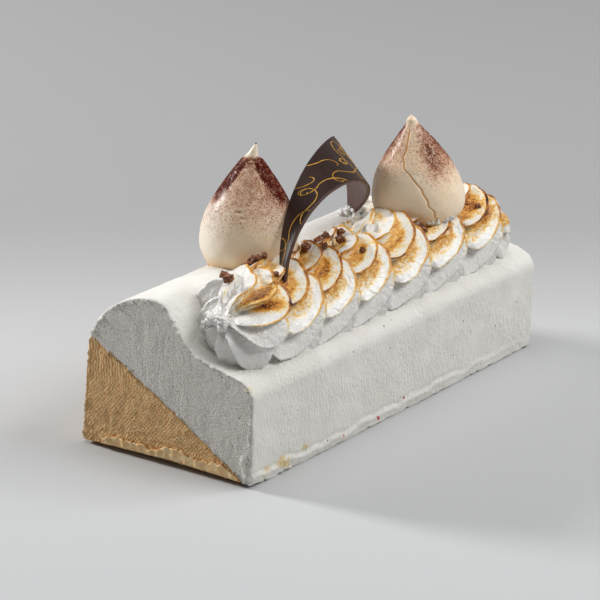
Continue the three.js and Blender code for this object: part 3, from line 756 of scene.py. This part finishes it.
def kiss(centre, radius, tall, foot, lean, seed):
    """A meringue drop: its points, and each one's height share, turn and way out."""
    tip = 0.9 + 0.1 * np.sin(np.linspace(0.05, 1, 32) * np.pi / 2)
    shares = np.clip(np.concatenate([np.linspace(0, 0.9, 140), tip]), 0, 0.9985)
    turns = np.radians(np.arange(300) * 1.2)
    wide = radius * kiss_radius(shares)
    heights = shares * tall
    inset = wide[0] - 0.6
    wide = np.concatenate([[inset * 0.5, inset], wide])
    heights = np.concatenate([[-foot, -foot], heights])
    shares = np.concatenate([[0, 0], shares])
    leaning = shares ** 1.6
    ring_x = centre[0] + wide[:, None] * np.cos(turns) + (lean[0] * leaning)[:, None]
    ring_y = centre[1] + wide[:, None] * np.sin(turns) + (lean[1] * leaning)[:, None]
    ring_z = centre[2] + heights[:, None] + 0 * turns
    points = np.stack([ring_x, ring_y, ring_z], axis=-1)
    outward = np.stack([np.cos(turns), np.sin(turns)], axis=-1)
    dents = 0.3 * grain(points, 9, seed) + 0.1 * grain(points, 3, seed + 1)
    dents = dents * smooth((1 - shares) * 6)[:, None]
    points[..., :2] += outward * dents[..., None]
    return points, shares[:, None] + 0 * turns, 0 * shares[:, None] + turns, outward


def away(turns):
    """Degrees between a direction and the photographed side, positive to its right."""
    return np.degrees(np.angle(np.exp(1j * (turns - VIEW_TURN))))


points, shares, turns, outward = kiss((-32.8, 7.4, 62), NEAR_RADIUS, NEAR_TALL, 5, (1.4, -1.6), 51)
side = away(turns)
edge = 0.7 - 0.33 * smooth((side - 6) / 60) - 0.3 * smooth((-side - 22) / 50)
thin_dust = (0.56 + 0.18 * smooth(side / 50)) * smooth((shares - 0.1) / 0.55)
cocoa = np.maximum(0.95 * smooth((shares - edge + 0.03) / 0.24), thin_dust)
cocoa = cocoa * (1 - 0.85 * smooth((shares - 0.86) / 0.05)) + smooth((shares - 0.985) / 0.005)
# pale is a painted highlight: the side left of the camera, where the light falls, is painted paler.
pale = 0.8 * smooth((side + 96) / 26) * (1 - smooth((side + 58) / 30))
beak = BEAK_RADIUS * np.clip((1 - shares) / (1 - BEAK_FROM), 0, 1) ** 0.8 - kiss_radius(shares) * NEAR_RADIUS
beak = beak * smooth((shares - BEAK_FROM) / (0.014 + 0.06 * smooth(-side / 60)))
points[..., :2] += beak[..., None] * outward + smooth((shares - 0.87) / 0.13)[..., None] * BEAK_BEND
for at_share, at_side, tall, wide, deep in [(0.5, -15, 0.012, 4, 0.9), (0.455, -8, 0.01, 5, 0.6),
                                            (0.09, 8, 0.02, 9, -0.7), (0.3, 30, 0.08, 20, 0.3)]:
    dent = deep * np.exp(-((shares - at_share) / tall) ** 2 - ((side - at_side) / wide) ** 2)
    points[..., :2] -= dent[..., None] * outward
near_kiss = solid("kiss_near", *capped(points), cocoa=with_ends(cocoa), height=with_ends(shares, (0, 1)),
                  pale=with_ends(pale))

points, shares, turns, outward = kiss(FAR_KISS, FAR_RADIUS, FAR_TALL, 0.5, (-3.2, 1.8), 61)
side = away(turns)
cocoa = 0.3 * smooth((np.abs(side) - 40) / 60) * smooth((shares - 0.3) / 0.3)
cocoa = cocoa + 0.6 * smooth((shares - 0.16) / 0.62)
cocoa = cocoa + 0.34 * np.exp(-((side - 32) / 26) ** 2 - ((shares - 0.6) / 0.2) ** 2)
cocoa = cocoa * (1 - 0.5 * np.exp(-((side + 8) / 24) ** 2))
cocoa = cocoa * (1 - smooth((shares - 0.9) / 0.03) * 0.8)
crack_turn = np.interp(shares, [0.04, 0.2, 0.38, 0.5, 0.56, 0.62, 0.75, 0.9],
                       [24, 12, 0, -12, -22, -26, -22, -20])
crack_turn = crack_turn + 3.5 * grain(np.stack([shares * FAR_TALL, 0 * shares, 0 * shares], -1), 2.2, 5)
aside = np.radians(np.abs(side - crack_turn)) * FAR_RADIUS * kiss_radius(shares)
crack = (1 - smooth(aside / 0.6)) * smooth((0.92 - shares) / 0.1)
knob = 0.7 * np.exp(-((shares - 0.955) / 0.03) ** 2)
points[..., :2] += (knob - 0.35 * crack)[..., None] * outward
far_kiss = solid("kiss_far", *capped(points), cocoa=with_ends(cocoa), height=with_ends(shares, (0, 1)),
                 crack=with_ends(crack))

tree, set_sockets = finish("baked meringue", near_kiss, far_kiss)
height = tree.painted("height")
colour = tree.spots(60, 2).ease(0.35, 0.7).tint(sRGB(253, 228, 196), sRGB(255, 238, 214))
# The painted highlight on the near kiss's left side.
colour = tree.painted("pale").tint(colour, sRGB(250, 240, 226))
colour = ((1 - height.ease(0.0, 0.22)) * 0.5).tint(colour, sRGB(240, 216, 170))
# More golden near the foot: painted warm light bounced up from below, on top of the baked colour there.
colour = ((1 - height.ease(0.0, 0.12)) * 0.6).tint(colour, sRGB(240, 196, 128))
crust = (1 - height.ease(0.0, 0.07)) * tree.spots(520, 3).ease(0.52, 0.6) * 0.85
colour = crust.tint(colour, sRGB(224, 158, 74))
dust = tree.painted("cocoa")
stain = (dust * (0.5 + tree.spots(300, 2) * 0.9)).ease(0.1, 1.0)
colour = (stain * 0.8).tint(colour, sRGB(160, 82, 44))
specks = tree.spots(2000, 3) * 0.6 + tree.spots(600, 3) * 0.4
dots = 0
for scale, common in ((1250, -0.02), (2100, 0.1)):  # dots of two sizes
    here = ((dust - tree.chance(scale)) * 0.9 + common).ease(0, 0.3)
    dots = dots + here * (1 - tree.cells(scale).ease(0.2, 0.62))
dusted = dots.math("MAXIMUM", dots * 0.8, (dust + (specks - 0.5) * 2.4).ease(0.5, 0.98))
dusted = dusted * dust.ease(0.02, 0.25)
colour = dusted.tint(colour, dust.ease(0.5, 0.92).tint(sRGB(168, 104, 72), sRGB(78, 18, 5)))
colour = tree.painted("crack").ease(0.2, 0.7).tint(colour, sRGB(226, 166, 96))
set_sockets({"Base Color": colour, "Roughness": dusted * 0.3 + 0.42, "Specular IOR Level": 0.06,
             "Coat Weight": (1 - dusted) * 0.3, "Coat Roughness": 0.3,
             "Subsurface Weight": 0.2, "Subsurface Radius": (0.012, 0.008, 0.005),
             "Normal": (tree.spots(700, 3) * 0.4 + dusted * 0.3).raised(0.0003)})
for piece, node in ((near_kiss, "meringue_kiss_near"), (far_kiss, "meringue_kiss_far")):
    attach(piece, "root")
    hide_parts(node)

# ---- Chocolate blade --------------------------------------
# A thin triangle of tempered dark chocolate, set on a printed sheet that left gold
# scrolls on its outer face, and curled round a roll while it hardened.

ROLL_RADIUS, BLADE_THICK, BEVEL = 26.8, 1.4, 0.25
ROLL_MIDDLE = np.array([-3.4, 0, 67.3])
ACROSS = 22  # points across each of the blade's two faces
TIP, PEAK, HEEL = (-50.9, -94.5), (43.5, 61.9), (22.8, 114.7)  # along the roll, degrees round it
turn, tilt = math.radians(57), math.radians(14)
roll_axis = np.array([math.cos(tilt) * math.cos(turn), math.cos(tilt) * math.sin(turn), math.sin(tilt)])
roll_side = np.cross(roll_axis, (0, 0, 1))
roll_side /= np.linalg.norm(roll_side)
roll_up = np.cross(roll_side, roll_axis)


def on_roll(along, angle, radius):
    along, angle, radius = np.broadcast_arrays(along, np.radians(angle), radius)
    return (ROLL_MIDDLE + along[..., None] * roll_axis
            + (radius * np.cos(angle))[..., None] * roll_up + (radius * np.sin(angle))[..., None] * roll_side)


def blade_edges(angle):
    """Where the triangle's two edges lie at an angle round the roll."""
    low = np.interp(angle, (TIP[1], HEEL[1]), (TIP[0], HEEL[0]))
    high = np.interp(angle, (TIP[1], PEAK[1], HEEL[1]), (TIP[0], PEAK[0], HEEL[0]))
    return low, high


angles = np.linspace(TIP[1] + 0.06 * (HEEL[1] - TIP[1]), HEEL[1] - 3, 190)
rings = []
for angle in angles:
    low, high = blade_edges(angle)
    fray = 0.15 * grain(np.array([[angle, 3, 5.0], [angle, 9, 5.0]]) * (0.5, 1, 1), 2, 71)
    low, high = low + fray[0], high + fray[1]
    inner = np.linspace(low + BEVEL, high - BEVEL, ACROSS)
    across = np.concatenate([[low], inner, [high], [high], inner[::-1], [low]])
    depth = np.concatenate([[BEVEL], 0 * inner, [BEVEL], [BLADE_THICK - BEVEL], 0 * inner + BLADE_THICK,
                            [BLADE_THICK - BEVEL]])
    rings.append(on_roll(across, angle, ROLL_RADIUS + depth))
points, faces = capped(rings)
outer = np.tile(np.concatenate([np.zeros(ACROSS + 2), [0], np.ones(ACROSS), [0]]), len(angles))
blade = solid("chocolate_blade", points, flipped(faces), outer=with_ends(outer))
tree, set_sockets = finish("dark chocolate", blade)
colour = tree.painted("outer").ease(0.3, 0.8).tint(sRGB(86, 58, 48), sRGB(46, 27, 20))
bloom = tree.spots(120, 3).ease(0.5, 0.8) * 0.2
set_sockets({"Base Color": bloom.tint(colour, sRGB(98, 76, 64)), "Roughness": 0.36, "Specular IOR Level": 0.3,
             "Normal": (tree.spots(300, 2) + tree.spots(2200, 2) * 0.8).raised(0.00016)})
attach(blade, "root")
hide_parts("chocolate_arch")

# The gold scrolls: thin drawn lines of coloured cocoa butter, each a stem that
# rolls up at its end, on the outer face alone.


def scroll(start, heading, lengths, bends, steps=26):
    """A line on the flat sheet: it sets off at start and bends by so much over each length."""
    here, spots = np.array(start, float), [np.array(start, float)]
    for length, (first, last) in zip(lengths, bends):
        for k in range(steps):
            heading += (first + (last - first) * k / steps) * length / steps
            here = here + length / steps * np.array([math.cos(heading), math.sin(heading)])
            spots.append(here)
    return np.array(spots)


def inlaid(line, width):
    """Ribbons of a line on the sheet, laid on the blade's outer face where it is inside its edges."""
    ahead = np.gradient(line, axis=0)
    ahead /= np.linalg.norm(ahead, axis=1)[:, None]
    aside = np.column_stack([-ahead[:, 1], ahead[:, 0]])
    swelling = width * (0.75 + 0.5 * np.abs(np.sin(np.linspace(0, 7, len(line)))))[:, None] / 2
    left, right = line + aside * swelling, line - aside * swelling
    lift = np.array([-0.1, -0.1, 0.07, 0.07]) + ROLL_RADIUS + BLADE_THICK
    runs = [[]]
    for a, b in zip(left, right):
        angle = math.degrees((a[0] + b[0]) / 2 / ROLL_RADIUS)
        low, high = blade_edges(angle)
        if TIP[1] + 16 < angle < HEEL[1] - 12 and low + 0.6 < (a[1] + b[1]) / 2 < high - 0.6:
            corners = np.array([a, b, b, a])
            runs[-1].append(on_roll(corners[:, 1], np.degrees(corners[:, 0] / ROLL_RADIUS), lift))
        else:
            runs.append([])
    made = [capped(rings) for rings in runs if len(rings) > 4]
    return [(points, flipped(faces)) for points, faces in made]


# Where each stem starts, as degrees round the roll and a share across the blade, then its
# heading, the hand that it curls to and its size.
STEMS = [(-66, 0.5, 0.5, 1, 0.8), (-48, 0.45, 0.9, -1, 0.9), (-30, 0.2, 0.3, 1, 1.1), (-22, 0.8, 2.6, 1, 0.9),
         (-8, 0.35, 0.7, -1, 1.2), (4, 0.75, 3.6, -1, 1.0), (16, 0.3, 0.1, 1, 1.3), (30, 0.62, 1.9, -1, 1.1),
         (40, 0.25, 0.8, 1, 1.2), (52, 0.8, 4.0, 1, 1.0), (58, 0.5, 1.2, -1, 1.1), (74, 0.4, 2.4, 1, 0.9),
         (84, 0.6, 5.2, -1, 0.8)]
STEM_WIDTH = 0.37
ribbons = []
for angle, share, heading, hand, size in STEMS:
    low, high = blade_edges(angle)
    start = (math.radians(angle) * ROLL_RADIUS, low + (high - low) * share)
    bends = np.array([(0.05, 0.12), (0.16, 0.34), (0.4, 0.95)]) * hand
    ribbons += inlaid(scroll(start, heading, [9 * size, 7 * size, 6 * size], bends), STEM_WIDTH)
    bends = np.array([(0.1, 0.2), (0.3, 0.8)]) * hand
    ribbons += inlaid(scroll(start, heading + math.pi + 0.3, [6 * size, 5 * size], bends), 0.84 * STEM_WIDTH)
gold = heap("gold_scrolls", ribbons)
tree, set_sockets = finish("gold cocoa butter", gold)
set_sockets({"Base Color": tree.spots(700, 2).ease(0.3, 0.7).tint(sRGB(176, 122, 26), sRGB(222, 170, 60)),
             "Roughness": 0.38, "Metallic": 0.25})
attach(gold, "root")
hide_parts("chocolate_arch")

# ---- Floor, light and camera ------------------------------
# A pale floor that curves up into a backdrop, square to the camera's direction, a small
# key light behind the log, two soft lights in front of it and a broad one above.

BEND_FROM, BEND_RADIUS = 900, 600  # where the floor starts to curve up, and how tightly
bend = [(BEND_FROM + BEND_RADIUS * math.sin(t), BEND_RADIUS - BEND_RADIUS * math.cos(t))
        for t in np.linspace(0.1, 1.5, 14)]
run = [(-1600, 0), (BEND_FROM, 0)] + bend + [(1520, 2400)]
points = [(side, back, up) for side in (-2200, 2200) for back, up in run]
floor = solid("sweep", points, [(i + len(run), i, i + 1, i + 1 + len(run)) for i in range(len(run) - 1)])
floor.rotation_euler = (0, 0, math.radians(CAMERA_AZIMUTH))
tree, set_sockets = finish("pale floor", floor)
# Painted shade: the floor is painted darker towards the back and up the backdrop, where less light reaches.
depth = tree.place().part("Y").ease(0.0, 0.24)
set_sockets({"Base Color": depth.tint(sRGB(194, 195, 196), sRGB(161, 161, 162)), "Roughness": 0.7,
             "Specular IOR Level": 0.2})

AIM = Vector((0.003389, 0.009681, 0.035087))


def lamp(name, place, power, size):
    light = bpy.data.lights.new(name, "AREA")
    light.energy, light.size = power, size
    made = bpy.data.objects.new(name, light)
    made.location = place
    made.rotation_euler = (AIM - Vector(place)).to_track_quat("-Z", "Y").to_euler()
    bpy.context.scene.collection.objects.link(made)


lamp("key", (-0.25, 1.40, 0.72), 21, 0.3)
lamp("soft side", (0.85, -0.75, 1.0), 8, 0.6)
lamp("soft front", (0.3, -1.0, 1.15), 7, 0.6)
lamp("soft top", (0, 0.1, 1.5), 8, 1.0)
world = bpy.data.worlds.new("studio")
world.use_nodes = True
world.node_tree.nodes["Background"].inputs[0].default_value = (1, 0.99, 0.97, 1)
world.node_tree.nodes["Background"].inputs[1].default_value = 0.11
bpy.context.scene.world = world

CAMERA_DISTANCE = 1.31209
azimuth, elevation = math.radians(CAMERA_AZIMUTH), math.radians(19.322)
back = Vector((math.sin(azimuth) * math.cos(elevation), -math.cos(azimuth) * math.cos(elevation),
               math.sin(elevation)))
right = Vector((math.cos(azimuth), math.sin(azimuth), 0))
camera_data = bpy.data.cameras.new("camera")
camera_data.sensor_width, camera_data.lens = 36, 204
camera = bpy.data.objects.new("camera", camera_data)
stand = Matrix((right, back.cross(right), back)).transposed().to_4x4()
stand.translation = AIM + back * CAMERA_DISTANCE
camera.matrix_world = stand
bpy.context.scene.collection.objects.link(camera)
bpy.context.scene.camera = camera
bpy.context.scene.view_settings.view_transform = "Standard"
